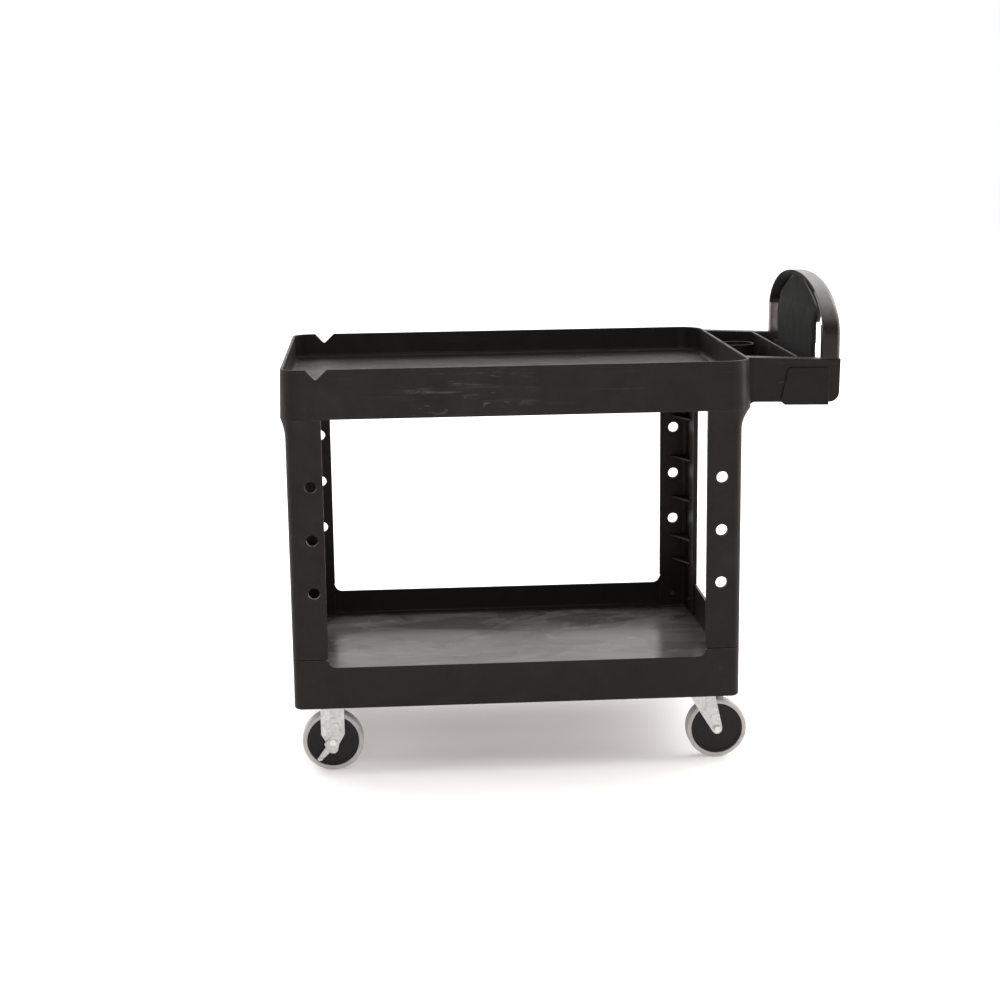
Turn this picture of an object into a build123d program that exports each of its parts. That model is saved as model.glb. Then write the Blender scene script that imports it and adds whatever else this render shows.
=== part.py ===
from build123d import *
import os
import math

# ---------------------------------------------------------------- driving dimensions (mm)
# Frame: +X towards the push handle, +Z up, origin on the floor under the
# centre of the overall box.

LIFT = 3.5                            # heights of the shelves, posts, handle and pads are given
                                      # from a datum this far above the floor

# top shelf (lipped tray)
TRAY_X0, TRAY_X1 = -568.8, 381.0      # ends of the rim at its top edge
TRAY_HY = 325.3                       # half width of the rim at its top edge
TRAY_FLARE = 3.2                      # the skirt is this much wider at its foot
TRAY_RL, TRAY_RR = 36.0, 52.0         # plan corner radii, far end and handle end
Z_RIM, Z_DECK, Z_SKIRT = 845.0, 790.0, 744.5
T_DECK, T_WALL = 5.5, 6.0

# legs (angle section with gussets)
LEG_X0, LEG_X1, LEG_HY = -562.5, 361.5, 323.5
LEG_R, LEG_T = 18.0, 10.0
LEG_W, LEG_D = 72.5, 113.0            # side wall and end wall widths
Z_SEAM, Z_COVE = 247.0, 705.0
HOLE_R = 12.0
HOLE_Z = (608.0, 498.0, 388.0)
HOLE_XL, HOLE_XR = -514.5, 320.0
RIB_Z = (682.0, 634.0, 537.0, 440.0, 346.0, 290.0)

# bottom shelf
LOW_Z0, LOW_DECK, LOW_RIM = 142.0, 171.0, 230.0
LOW_T, LOW_WALL = 5.5, 5.5
SEAT_H = 2.0                          # corner seats that carry the feet of the posts
SEAM_GAP = 2.0                        # open joint between the outer faces of post and shelf
PAD_Z = 159.0                         # mounting face of the caster pads

# handle console
ARM_Y0, ARM_Y1 = 236.0, 268.0         # inner and outer faces of the arms
ARM_END = 571.8
ARM_TOP_END, ARM_BOT = 838.0, 751.0
BIN_Z = 768.0                         # floor of the storage bins
PART_X0, PART_X1 = 486.5, 491.5       # wall between the two bins
CUP_X, CUP_Y, CUP_R, CUP_T, CUP_Z = 432.0, 128.0, 39.0, 3.2, 827.0

# push handle (arch)
ARCH_X0, ARCH_X1 = 533.5, 572.0
ARCH_A, ARCH_Z0, ARCH_H = 269.0, 885.0, 113.0
ARCH_T = 27.0
ARCH_K = 0.584                        # fullness of the arch shoulders (0.552 is an ellipse)
PANEL_X, PANEL_T = 533.5, 10.0
HEAD_X = 540.5                        # face of the panel head, set back from the face of the panel

# casters
WHEEL_R, TYRE_W, HUB_R, HUB_W = 63.5, 32.0, 54.0, 29.0
CAST_Y = 266.0
RIGID_X = -486.6
KING_X, TRAIL = 286.0, 35.5
FORK_IN, FORK_T = 16.8, 3.0           # inner face of a fork cheek from its middle, sheet thickness
AXLE_R, SLEEVE_R, BUSH_R = 4.0, 6.0, 9.0
RUN = 0.05                            # radial running clearance
PLATE_X, PLATE_Y, PLATE_T = 95.0, 67.0, 3.0
BOLT_DX, BOLT_DY = 75.0, 45.0
LEVER_T = 3.0

os.makedirs("parts", exist_ok=True)
NODES = {}


def put(name, shape, lift=0.0):
    if lift and shape.children:
        shape = Compound(children=[c.moved(Location((0, 0, lift))) for c in list(shape.children)])
    elif lift:
        shape = shape.moved(Location((0, 0, lift)))
    NODES[name] = shape
    export_step(shape, f"parts/{name}.step")


def box(x0, x1, y0, y1, z0, z1):
    return Pos((x0 + x1) / 2, (y0 + y1) / 2, (z0 + z1) / 2) * Box(x1 - x0, y1 - y0, z1 - z0)


def rrect(x0, x1, hy, rl, rr):
    """Plan outline with one corner radius at the -X end and one at the +X end."""
    s = Pos((x0 + x1) / 2, 0) * Rectangle(x1 - x0, 2 * hy)
    xm = (x0 + x1) / 2
    s = fillet([v for v in s.vertices() if v.X < xm], rl)
    s = fillet([v for v in s.vertices() if v.X > xm and abs(abs(v.Y) - hy) < 0.01 and abs(v.X - x1) < 0.01], rr)
    return s


def prism(sk, z0, z1):
    return extrude(Plane.XY.offset(z0) * sk, amount=z1 - z0)


def skin(sections):
    """Ruled body through (z, outline) pairs."""
    return loft([Plane.XY.offset(z) * s for z, s in sections], ruled=True)


def cyl_y(x, y0, y1, z, r):
    return Pos(x, (y0 + y1) / 2, z) * Rot(90, 0, 0) * Cylinder(r, y1 - y0)


def cyl_z(x, y, z0, z1, r):
    return Pos(x, y, (z0 + z1) / 2) * Cylinder(r, z1 - z0)


def cyl_x(x0, x1, y, z, r):
    return Pos((x0 + x1) / 2, y, z) * Rot(0, 90, 0) * Cylinder(r, x1 - x0)


def hex_z(x, y, z0, z1, af):
    return Pos(x, y, z0) * extrude(RegularPolygon(af / math.sqrt(3), 6), amount=z1 - z0)


def hex_y(x, y0, y1, z, af):
    return Pos(x, y0, z) * Rot(-90, 0, 0) * extrude(RegularPolygon(af / math.sqrt(3), 6), amount=y1 - y0)


def xz(points):
    """Face in the XZ plane from (x, z) points, at y = 0, extruded with slab_y."""
    return make_face(Polyline(*[(p[0], 0, p[1]) for p in points], close=True))


def slab_y(face, y0, y1):
    return Pos(0, y0, 0) * extrude(face, amount=y1 - y0, dir=(0, 1, 0))


def slab_x(face, x0, x1):
    return Pos(x0, 0, 0) * extrude(face, amount=x1 - x0, dir=(1, 0, 0))


# ---------------------------------------------------------------- top shelf
x0b, x1b, hyb = TRAY_X0 - TRAY_FLARE, TRAY_X1 + TRAY_FLARE, TRAY_HY + TRAY_FLARE
TRAY_FOOT = (x0b, x1b, hyb, TRAY_RL, TRAY_RR)

outer = skin([(Z_SKIRT, rrect(*TRAY_FOOT)), (Z_RIM, rrect(TRAY_X0, TRAY_X1, TRAY_HY, TRAY_RL, TRAY_RR))])
outer = fillet(outer.edges().group_by(Axis.Z)[0], 2.5)
well = skin([
    (Z_DECK, rrect(TRAY_X0 + T_WALL - 0.5, TRAY_X1 - T_WALL + 0.5, TRAY_HY - T_WALL + 0.5, TRAY_RL - T_WALL, TRAY_RR - T_WALL)),
    (Z_RIM + 5, rrect(TRAY_X0 + T_WALL, TRAY_X1 - T_WALL, TRAY_HY - T_WALL, TRAY_RL - T_WALL, TRAY_RR - T_WALL)),
])
well = fillet(well.edges().group_by(Axis.Z)[0], 9.0)
SKIRT_IN = (x0b + T_WALL, x1b - T_WALL, hyb - T_WALL, TRAY_RL - T_WALL, TRAY_RR - T_WALL)
under = prism(rrect(*SKIRT_IN), Z_SKIRT - 5, Z_DECK - T_DECK)
tray = outer - well - under
# rounded rim
rim_edges = [e for e in tray.edges() if abs(e.center().Z - Z_RIM) < 0.05]
tray = fillet(rim_edges, 1.8)

# V notches that hold a handle, in both long rims
notch = make_face(Polyline((-518.5, 0, Z_RIM + 6), (-518.5, 0, Z_RIM + 0.6), (-499.8, 0, 825.0), (-495.6, 0, 825.0), (-474.0, 0, Z_RIM + 0.6), (-474.0, 0, Z_RIM + 6), close=True))
notch_cut = slab_y(notch, -400, 400)
notch_cut = fillet(notch_cut.edges().filter_by(Axis.Y).group_by(Axis.Z)[0], 3.5)
tray = tray - notch_cut

# stiffening ribs under the deck
ribs = [box(x - 2, x + 2, -SKIRT_IN[2] + 0.0, SKIRT_IN[2], Z_DECK - T_DECK - 26, Z_DECK - T_DECK + 1) for x in (-400, -240, -80, 80, 240)]
ribs += [box(SKIRT_IN[0], SKIRT_IN[1], y - 2, y + 2, Z_DECK - T_DECK - 26, Z_DECK - T_DECK + 1) for y in (-110, 0, 110)]
for r_ in ribs:
    tray = tray + r_

# arms that carry the handle
ax0 = TRAY_X1 - 3.0
wire = [
    Line((ax0, 0, 844.6), (ARCH_X0 - 2, 0, ARM_TOP_END)),
    Line((ARCH_X0 - 2, 0, ARM_TOP_END), (ARM_END, 0, ARM_TOP_END)),
    Line((ARM_END, 0, ARM_TOP_END), (ARM_END - 1.5, 0, ARM_BOT + 18)),
    ThreePointArc((ARM_END - 1.5, 0, ARM_BOT + 18), (ARM_END - 7.2, 0, ARM_BOT + 4.6), (ARM_END - 20, 0, ARM_BOT - 1.5)),
    Line((ARM_END - 20, 0, ARM_BOT - 1.5), (394.2, 0, ARM_BOT + 1.5)),
    ThreePointArc((394.2, 0, ARM_BOT + 1.5), (388.0, 0, ARM_BOT - 1.2), (384.3, 0, 746.5)),
    Line((384.3, 0, 746.5), (ax0, 0, 746.5)),
    Line((ax0, 0, 746.5), (ax0, 0, 844.6)),
]
arm_face = make_face(Wire(wire))
for sgn in (-1, 1):
    ya, yb = (ARM_Y0, ARM_Y1) if sgn > 0 else (-ARM_Y1, -ARM_Y0)
    arm = slab_y(arm_face, ya, yb)
    top_e = [e for e in arm.edges() if e.center().Z > 836 and abs(abs(e.center().Y) - (ARM_Y0 + ARM_Y1) / 2) > 10 and e.center().X > ax0 + 1]
    arm = fillet(top_e, 2.0)
    hollow = box(392, ARM_END - 8, ya + 6.5, yb - 6.5, ARM_BOT - 12, ARM_TOP_END - 7)
    hollow = hollow - box(520, 526, ya, yb, ARM_BOT - 12, ARM_TOP_END)
    tray = tray + (arm - hollow)

# bin floor, wall between the bins and cup ring
tray = tray + box(ax0, PANEL_X - 0.3, -ARM_Y0 - 1, ARM_Y0 + 1, BIN_Z - 5, BIN_Z)
for y in (-120, 0, 120):
    tray = tray + box(TRAY_X1, ARCH_X0 - 3, y - 2, y + 2, BIN_Z - 15, BIN_Z - 4)
part_wall = box(PART_X0, PART_X1, -ARM_Y0 - 1, ARM_Y0 + 1, BIN_Z - 1, 841.3)
part_wall = fillet(part_wall.edges().filter_by(Axis.Y).group_by(Axis.Z)[-1], 1.8)
tray = tray + part_wall
cup = cyl_z(CUP_X, CUP_Y, BIN_Z - 1, CUP_Z, CUP_R) - cyl_z(CUP_X, CUP_Y, BIN_Z, CUP_Z + 1, CUP_R - CUP_T)
cup = fillet(cup.edges().group_by(Axis.Z)[-1], 1.2)
tray = tray + cup

# screw holes for the arch feet, and pilot holes for the leg screws
FOOT_Y = 254.5
FOOT_XS = (541.0, 556.5)
for y in (-FOOT_Y, FOOT_Y):
    for x in FOOT_XS:
        tray = tray - cyl_z(x, y, ARM_TOP_END - 10, ARM_TOP_END + 2, 2.7)

# ---------------------------------------------------------------- legs
leg_out = rrect(LEG_X0, LEG_X1, LEG_HY, LEG_R, LEG_R)
leg_in = rrect(LEG_X0 + LEG_T, LEG_X1 - LEG_T, LEG_HY - LEG_T, LEG_R - LEG_T + 2, LEG_R - LEG_T + 2)
z_top = Z_DECK - T_DECK
ring = prism(leg_out, Z_SEAM + SEAM_GAP, Z_SKIRT)
# upper tenon inside the skirt of the top shelf
ti = (SKIRT_IN[0] + 0.4, SKIRT_IN[1] - 0.4, SKIRT_IN[2] - 0.4, SKIRT_IN[3] - 0.4, SKIRT_IN[4] - 0.4)
ring = ring + (prism(leg_out, Z_SKIRT, z_top) & prism(rrect(*ti), Z_SKIRT, z_top))
# lower tenon inside the wall of the bottom shelf
lo = LOW_WALL + 0.3
ring = ring + prism(rrect(LEG_X0 + lo, LEG_X1 - lo, LEG_HY - lo, LEG_R - lo, LEG_R - lo), LOW_DECK + SEAT_H, Z_SEAM + SEAM_GAP)
# cove that spreads to the foot of the tray
cz = [Z_COVE + (Z_SKIRT - Z_COVE) * k / 6 for k in range(7)]
R_C = 85.0
secs = []
for k, z in enumerate(cz):
    f = (R_C - math.sqrt(R_C ** 2 - (z - Z_COVE) ** 2)) / (R_C - math.sqrt(R_C ** 2 - (Z_SKIRT - Z_COVE) ** 2))
    a = (LEG_X0 - 0.02, LEG_X1 + 0.02, LEG_HY + 0.02, LEG_R, LEG_R)
    b = (x0b + 0.9, x1b - 0.9, hyb - 0.9, TRAY_RL - 1, TRAY_RR - 1)
    v = [p + (q - p) * f for p, q in zip(a, b)]
    secs.append((z, rrect(*v)))
cove = skin(secs)
ring = ring + cove
ring = ring - prism(leg_in, LOW_DECK - 5, z_top + 5)

LEGS = {
    "leg_front_left": (-1, -1), "leg_front_right": (1, -1),
    "leg_rear_left": (-1, 1), "leg_rear_right": (1, 1),
}
LEG_SCREWS_TOP, LEG_SCREWS_LOW = [], []


def pan_screw_y(x, y_in, s, z, length, r=2.6):
    """Pan-head screw whose head lies on an inner face and whose shank runs outwards along s*Y."""
    head = cyl_y(x, min(y_in - s * 3.2, y_in), max(y_in - s * 3.2, y_in), z, 5.5)
    shank = cyl_y(x, min(y_in, y_in + s * length), max(y_in, y_in + s * length), z, r)
    return head + shank


def pan_screw_x(x_in, s, y, z, length, r=2.6):
    head = cyl_x(min(x_in - s * 3.2, x_in), max(x_in - s * 3.2, x_in), y, z, 5.5)
    shank = cyl_x(min(x_in, x_in + s * length), max(x_in, x_in + s * length), y, z, r)
    return head + shank


HOLES = []                             # screw holes cut in legs and shelves
NOTCH = None                           # small relief where the free edge of a post meets the shelf
for xn in (LEG_X0 + LEG_W, LEG_X1 - LEG_W):
    nf = make_face(Polyline((xn - 4.0, 0, Z_SEAM), (xn + 0.5, 0, Z_SEAM + 2.4), (xn + 3.0, 0, Z_SEAM), (xn + 0.5, 0, Z_SEAM - 2.4), close=True)) if xn < 0 else \
        make_face(Polyline((xn + 4.0, 0, Z_SEAM), (xn - 0.5, 0, Z_SEAM + 2.4), (xn - 3.0, 0, Z_SEAM), (xn - 0.5, 0, Z_SEAM - 2.4), close=True))
    nb = slab_y(nf, -400, 400)
    NOTCH = nb if NOTCH is None else NOTCH + nb
for name, (sx, sy) in LEGS.items():
    if sx < 0:
        bx0, bx1 = x0b - 5, LEG_X0 + LEG_W
        hx = HOLE_XL
        xin = LEG_X0 + LEG_T
    else:
        bx0, bx1 = LEG_X1 - LEG_W, x1b + 5
        hx = HOLE_XR
        xin = LEG_X1 - LEG_T
    by0, by1 = (LEG_HY - LEG_D, hyb + 5) if sy > 0 else (-hyb - 5, -(LEG_HY - LEG_D))
    leg = (ring & box(bx0, bx1, by0, by1, LOW_DECK - 5, z_top + 5)) - NOTCH
    yin = sy * (LEG_HY - LEG_T)
    # gussets in the angle
    for z in RIB_Z:
        tri = Polyline((xin + sx * 1.5, yin + sy * 1.5, z), (xin - sx * 42, yin + sy * 1.5, z), (xin - sx * 37, yin - sy * 3, z),
                       (xin - sx * 4, yin - sy * 70, z), (xin + sx * 1.5, yin - sy * 75, z), close=True)
        g = extrude(make_face(tri), amount=3.5, dir=(0, 0, 1))
        leg = leg + (g & box(min(LEG_X0 + 4, 0) if sx < 0 else 0, 0 if sx < 0 else LEG_X1 - 4, -LEG_HY + 4, LEG_HY - 4, z - 1, z + 5))
    # three round holes through the side wall
    for z in HOLE_Z:
        leg = leg - cyl_y(hx, min(sy * 300, sy * 335), max(sy * 300, sy * 335), z, HOLE_R)
    # soften the free edges of the two walls
    fe = [e for e in leg.edges().filter_by(Axis.Z) if e.length > 300 and (
        abs(e.center().X - (LEG_X0 + LEG_W if sx < 0 else LEG_X1 - LEG_W)) < 0.1 or abs(abs(e.center().Y) - (LEG_HY - LEG_D)) < 0.1)]
    try:
        leg = fillet(fe, 1.6)
    except Exception as err:
        print("edge rounding skipped on", name, err)
    # screws: two to each shelf
    xc = xin - sx * 32.0
    for zz, lst, ln, kind in ((767.0, LEG_SCREWS_TOP, 12.5, "top"), (203.0, LEG_SCREWS_LOW, 12.0, "low")):
        depth = LEG_T + (3.0 if kind == "top" else -1.0)
        s1 = pan_screw_y(xc, yin, sy, zz, depth)
        yc = yin - sy * 60.0
        s2 = pan_screw_x(xin, sx, yc, zz, depth)
        lst += [s1, s2]
        HOLES += [cyl_y(xc, min(yin, yin + sy * depth), max(yin, yin + sy * depth), zz, 2.6),
                  cyl_x(min(xin, xin + sx * depth), max(xin, xin + sx * depth), yc, zz, 2.6)]
        leg = leg - HOLES[-1] - HOLES[-2]
    put(name, leg, LIFT)

for h in HOLES:
    if h.center().Z > 500:
        tray = tray - h
put("top_shelf", tray, LIFT)

# ---------------------------------------------------------------- bottom shelf
low = prism(rrect(LEG_X0, LEG_X1, LEG_HY, LEG_R, LEG_R), LOW_Z0, Z_SEAM)
low = fillet(low.edges().group_by(Axis.Z)[0], 6.0)
lwell = prism(rrect(LEG_X0 + LOW_WALL, LEG_X1 - LOW_WALL, LEG_HY - LOW_WALL, LEG_R - LOW_WALL, LEG_R - LOW_WALL), LOW_DECK, Z_SEAM + 5)
lunder = prism(rrect(LEG_X0 + LOW_WALL, LEG_X1 - LOW_WALL, LEG_HY - LOW_WALL, LEG_R - LOW_WALL, LEG_R - LOW_WALL), LOW_Z0 - 5, LOW_DECK - LOW_T)
low = low - lwell - lunder
# cove along the foot of the two long walls and the end walls, between the leg tenons
cx0, cx1 = LEG_X0 + LEG_W + 1, LEG_X1 - LEG_W - 1
for s in (-1, 1):
    yw = s * (LEG_HY - LOW_WALL)
    c = box(cx0, cx1, min(yw, yw - s * 9), max(yw, yw - s * 9), LOW_DECK - 0.5, LOW_DECK + 9) - cyl_x(cx0 - 1, cx1 + 1, yw - s * 9, LOW_DECK + 9, 9.0)
    low = low + c
    xw = (LEG_X1 - LOW_WALL) if s > 0 else (LEG_X0 + LOW_WALL)
    hyw = LEG_HY - LEG_D - 1
    c = box(min(xw, xw - s * 9), max(xw, xw - s * 9), -hyw, hyw, LOW_DECK - 0.5, LOW_DECK + 9) - cyl_y(xw - s * 9, -hyw - 1, hyw + 1, LOW_DECK + 9, 9.0)
    low = low + c
# raised seats in the four corners, just larger than the feet of the posts
seat = prism(rrect(LEG_X0 + 2, LEG_X1 - 2, LEG_HY - 2, LEG_R - 2, LEG_R - 2), LOW_DECK - 1, LOW_DECK + SEAT_H)
seat = seat - prism(rrect(LEG_X0 + LEG_T + 1, LEG_X1 - LEG_T - 1, LEG_HY - LEG_T - 1, LEG_R - LEG_T + 1, LEG_R - LEG_T + 1), LOW_DECK - 2, LOW_DECK + SEAT_H + 1)
for sx in (-1, 1):
    for sy in (-1, 1):
        a, b = (LEG_X0 - 1, LEG_X0 + LEG_W + 1) if sx < 0 else (LEG_X1 - LEG_W - 1, LEG_X1 + 1)
        c, d = (LEG_HY - LEG_D - 1, LEG_HY + 1) if sy > 0 else (-LEG_HY - 1, -LEG_HY + LEG_D + 1)
        low = low + (seat & box(a, b, c, d, LOW_DECK - 2, LOW_DECK + SEAT_H + 1))
# long rims dip between the corner posts
dip = box(LEG_X0 + LEG_W - 0.0, LEG_X1 - LEG_W, -400, 400, LOW_RIM, Z_SEAM + 10)
dip = fillet(dip.edges().filter_by(Axis.Y).group_by(Axis.Z)[0], 16.5)
low = low - dip - NOTCH
rim = [e for e in low.edges().filter_by(Axis.X) if abs(e.center().Z - LOW_RIM) < 0.05 and e.length > 300]
low = fillet(rim, 1.6)
# ribs and caster pads below the deck
for x in (-400, -240, -80, 80, 200):
    low = low + box(x - 2, x + 2, -(LEG_HY - LOW_WALL), LEG_HY - LOW_WALL, LOW_DECK - LOW_T - 14, LOW_DECK - LOW_T + 1)
for y in (-110, 0, 110):
    low = low + box(LEG_X0 + LOW_WALL, LEG_X1 - LOW_WALL, y - 2, y + 2, LOW_DECK - LOW_T - 14, LOW_DECK - LOW_T + 1)
for x in (RIGID_X, KING_X):
    for y in (-CAST_Y, CAST_Y):
        low = low + box(x - 53, x + 53, y - 39, y + 39, PAD_Z, LOW_DECK - 1)
for h in HOLES:
    if h.center().Z < 500:
        low = low - h
for x in (RIGID_X, KING_X):
    for y in (-CAST_Y, CAST_Y):
        for dx in (-BOLT_DX / 2, BOLT_DX / 2):
            for dy in (-BOLT_DY / 2, BOLT_DY / 2):
                low = low - cyl_z(x + dx, y + dy, PAD_Z - 2, 168.0, 4.0)
put("bottom_shelf", low, LIFT)

put("leg_screws_top", Compound(children=LEG_SCREWS_TOP), LIFT)
put("leg_screws_bottom", Compound(children=LEG_SCREWS_LOW), LIFT)

# ---------------------------------------------------------------- push handle


def arch_curve(a, h, zf, k=ARCH_K, z0=ARCH_Z0):
    """Closed outline of an arch: straight legs down to zf and a squared-off half ellipse above z0."""
    r = Bezier((0, a, z0), (0, a, z0 + k * h), (0, k * a, z0 + h), (0, 0, z0 + h))
    l = Bezier((0, 0, z0 + h), (0, -k * a, z0 + h), (0, -a, z0 + k * h), (0, -a, z0))
    return make_face(Wire([r, l, Line((0, -a, z0), (0, -a, zf)), Line((0, -a, zf), (0, a, zf)), Line((0, a, zf), (0, a, z0))]))


outer_f = arch_curve(ARCH_A, ARCH_H, ARM_TOP_END)
inner_f = arch_curve(ARCH_A - ARCH_T, ARCH_H - ARCH_T, ARM_TOP_END - 10)
hoop = slab_x(outer_f, ARCH_X0, ARCH_X1) - slab_x(inner_f, ARCH_X0 - 5, ARCH_X1 + 5)


def bow_edges(shape, x, outside):
    """Long edges of the bow on the plane x, on its outer or inner curve."""
    r = []
    for e in shape.edges():
        b = e.bounding_box()
        far = max(abs(b.min.Y), abs(b.max.Y))
        if e.length > 40 and abs(b.min.X - x) < 0.1 and abs(b.max.X - x) < 0.1 and (far > ARCH_A - 8) == outside:
            r.append(e)
    return r


hoop = fillet(bow_edges(hoop, ARCH_X1, True), 13.0)
hoop = fillet(bow_edges(hoop, ARCH_X1, False), 8.0)
hoop = fillet(bow_edges(hoop, ARCH_X0, False), 9.0)
hoop = fillet(bow_edges(hoop, ARCH_X0, True), 3.0)

# groove around the panel in the face of the bow that looks at the tray; its back wall closes
# the top of the arch
Z_CH = 905.0
SKIN = 5.0
ch_out = arch_curve(ARCH_A - SKIN, ARCH_H - SKIN, Z_CH - 100)
channel = slab_x(ch_out, ARCH_X0 - 5, ARCH_X1 - 10) & box(ARCH_X0 - 5, ARCH_X1, -300, 300, Z_CH, 1100)
hoop = hoop - channel
hoop = hoop + (slab_x(arch_curve(ARCH_A - 20, ARCH_H - 20, ARM_TOP_END - 10), ARCH_X1 - 10, ARCH_X1 - 4) & box(ARCH_X0, ARCH_X1, -300, 300, Z_CH + 35, 1100))

# centre panel between the two hand slots, with a rounded head that almost fills the bow
head_pts = [(168.0, 903.0), (178.0, 916.0), (181.0, 926.0), (175.0, 935.5), (160.0, 944.5), (140.0, 953.5), (111.0, 964.5), (84.0, 973.8), (52.0, 983.5), (20.0, 989.0)]


def head_face(dy, dz):
    """Outline of the panel head, moved inwards by dy and down by dz."""
    p = [(y - dy if y > 30 else y, z - dz) for y, z in head_pts]
    c = Spline(*([(0, y, z) for y, z in p] + [(0, -y, z) for y, z in reversed(p)]))
    return make_face(Wire([c, Line((0, -p[0][0], p[0][1]), (0, p[0][0], p[0][1]))]))


zb = ARM_BOT + 3
yb = ARM_Y0 - 0.4
outline = Wire([
    Line((0, 168.0, 935.0), (0, -168.0, 935.0)),
    Line((0, -168.0, 935.0), (0, -168.0, 860.0)), Line((0, -168.0, 860.0), (0, -163.0, 857.0)), Line((0, -163.0, 857.0), (0, -163.0, 838.0)),
    ThreePointArc((0, -163.0, 838.0), (0, -167.4, 827.4), (0, -178.0, 823.0)), Line((0, -178.0, 823.0), (0, -yb, 823.0)), Line((0, -yb, 823.0), (0, -yb, zb)),
    Line((0, -yb, zb), (0, yb, zb)), Line((0, yb, zb), (0, yb, 823.0)), Line((0, yb, 823.0), (0, 178.0, 823.0)),
    ThreePointArc((0, 178.0, 823.0), (0, 167.4, 827.4), (0, 163.0, 838.0)), Line((0, 163.0, 838.0), (0, 163.0, 857.0)),
    Line((0, 163.0, 857.0), (0, 168.0, 860.0)), Line((0, 168.0, 860.0), (0, 168.0, 935.0)),
])
# the panel bends back to meet the face of its head
bend = xz([(PANEL_X, 740), (PANEL_X, 896), (PANEL_X + 0.8, 905), (PANEL_X + 2.4, 914), (PANEL_X + 4.8, 923), (HEAD_X + 0.5, 930), (HEAD_X + PANEL_T - 1, 930),
           (PANEL_X + PANEL_T + 1.0, 905), (PANEL_X + PANEL_T, 896), (PANEL_X + PANEL_T, 740)])
panel = slab_x(make_face(outline), PANEL_X - 2, HEAD_X + PANEL_T + 5) & slab_y(bend, -300, 300)
block = slab_x(head_face(0, 0), HEAD_X, HEAD_X + PANEL_T)
pe = [e for e in block.edges() if abs(e.bounding_box().max.X - HEAD_X) < 0.1 and e.bounding_box().max.Z > 950]
for r_ in (4.0, 2.5, 1.2):
    try:
        block = fillet(pe, r_)
        print("panel edge", r_)
        break
    except Exception as err:
        print("panel edge rounding failed at", r_)
# side wall of the head, back to the wall of the bow
side = (slab_x(head_face(0.5, 0.5), HEAD_X + PANEL_T - 1, ARCH_X1 - 9) - slab_x(head_face(5.5, 5.5), HEAD_X, ARCH_X1)) & box(HEAD_X, ARCH_X1, -300, 300, Z_CH + 31, 1100)
panel = panel + block + side
# webs join the panel to the back of the bow and to each other
arch = hoop + panel
for y in (-60, 60):
    arch = arch + (box(PANEL_X + PANEL_T - 1, ARCH_X1 - 6, y - 2.5, y + 2.5, 860, 985) & slab_x(arch_curve(ARCH_A - 12, ARCH_H - 12, 700), ARCH_X0, ARCH_X1))
arch = arch + box(PANEL_X + 1, ARCH_X1 - 8, -yb, -yb + 5, zb, 822) + box(PANEL_X + 1, ARCH_X1 - 8, yb - 5, yb, zb, 822)
arch = arch + box(PANEL_X + PANEL_T - 1, ARCH_X1 - 8, -yb, yb, zb, zb + 5)
for y in (-FOOT_Y, FOOT_Y):
    for x in FOOT_XS:
        arch = arch - cyl_z(x, y, ARM_TOP_END - 1, ARM_TOP_END + 20, 2.5)
put("handle_arch", arch, LIFT)

screws = []
for y in (-FOOT_Y, FOOT_Y):
    for x in FOOT_XS:
        screws.append(cyl_z(x, y, ARM_TOP_END - 10.2, ARM_TOP_END - 7.0, 5.0) + cyl_z(x, y, ARM_TOP_END - 7.0, ARM_TOP_END + 18, 2.5))
put("handle_screws", Compound(children=screws), LIFT)

# ---------------------------------------------------------------- tool holsters on the arms
hol = make_face(Polyline((464.0, 0, 821.3), (549.4, 0, 820.3), (547.5, 0, 744.0), (457.0, 0, 745.6), (448.3, 0, 753.0), close=True))
for name, s in (("holster_front", -1), ("holster_rear", 1)):
    ya, yb2 = (ARM_Y1, ARM_Y1 + 5.0) if s > 0 else (-ARM_Y1 - 5.0, -ARM_Y1)
    h = slab_y(hol, ya, yb2)
    h = fillet([e for e in h.edges().filter_by(Axis.Y) if e.center().Z > 815], 8.0)
    yo = s * (ARM_Y1 + 5.0)
    h = fillet([e for e in h.edges() if abs(e.center().Y - yo) < 0.05], 1.4)
    # pins that snap into the arm
    for x in (480.0, 532.0):
        h = h + cyl_y(x, min(s * (ARM_Y1 - 6.5), s * (ARM_Y1 + 1)), max(s * (ARM_Y1 - 6.5), s * (ARM_Y1 + 1)), 785.0, 3.0)
    put(name, h, LIFT)
for s in (-1, 1):
    # small locating bar beside the holster
    tray = tray + box(442.5, 455.5, min(s * (ARM_Y1 - 1), s * (ARM_Y1 + 1.6)), max(s * (ARM_Y1 - 1), s * (ARM_Y1 + 1.6)), 790.5, 793.5)
    for x in (480.0, 532.0):
        tray = tray - cyl_y(x, min(s * (ARM_Y1 - 7.5), s * (ARM_Y1 + 1)), max(s * (ARM_Y1 - 7.5), s * (ARM_Y1 + 1)), 785.0, 3.0)
put("top_shelf", tray, LIFT)

# ---------------------------------------------------------------- casters


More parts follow.
